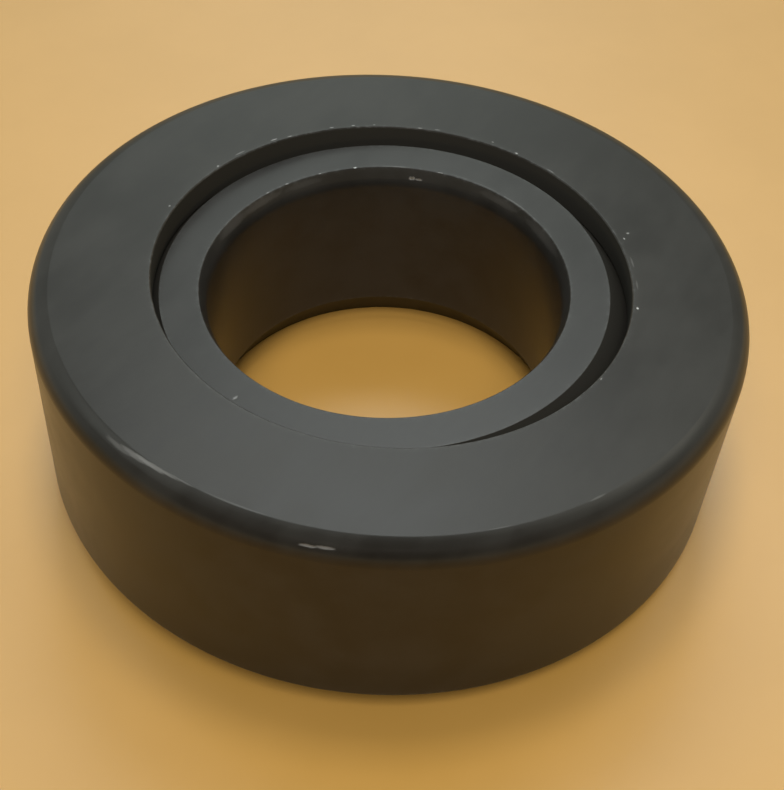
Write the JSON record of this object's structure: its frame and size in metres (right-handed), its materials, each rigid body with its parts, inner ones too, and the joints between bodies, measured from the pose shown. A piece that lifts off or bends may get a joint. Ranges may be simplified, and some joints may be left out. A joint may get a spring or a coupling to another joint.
{
  "type": "angular contact spherical plain bearing",
  "caption": "Blackened steel plain bearing: an outer ring that tilts and turns on a ball-shaped inner ring with a plain shaft bore.",
  "frame": {"origin": "centre of the inner ring's wide face, on the bore's axis, at the height of the surface that the bearing lies on", "axes": "+Z along the bore, from the wide face to the narrow face; +X towards the side where the outer ring leans down to the surface"},
  "size_m": [0.0505, 0.05, 0.0175],
  "materials": {
    "inner_steel": "blackened, satin",
    "outer_steel": "blackened, satin"
  },
  "bodies": {
    "inner": {"inner_ring": "inner_steel"},
    "outer": {"outer_ring": "outer_steel"}
  },
  "joints": [
    {"name": "ring_tilt", "type": "hinge", "parent": "inner", "child": "outer", "pos_m": [0, 0, 0.00123], "axis": [0, 1, 0], "range_deg": [-5.63, 1.37]}
  ]
}
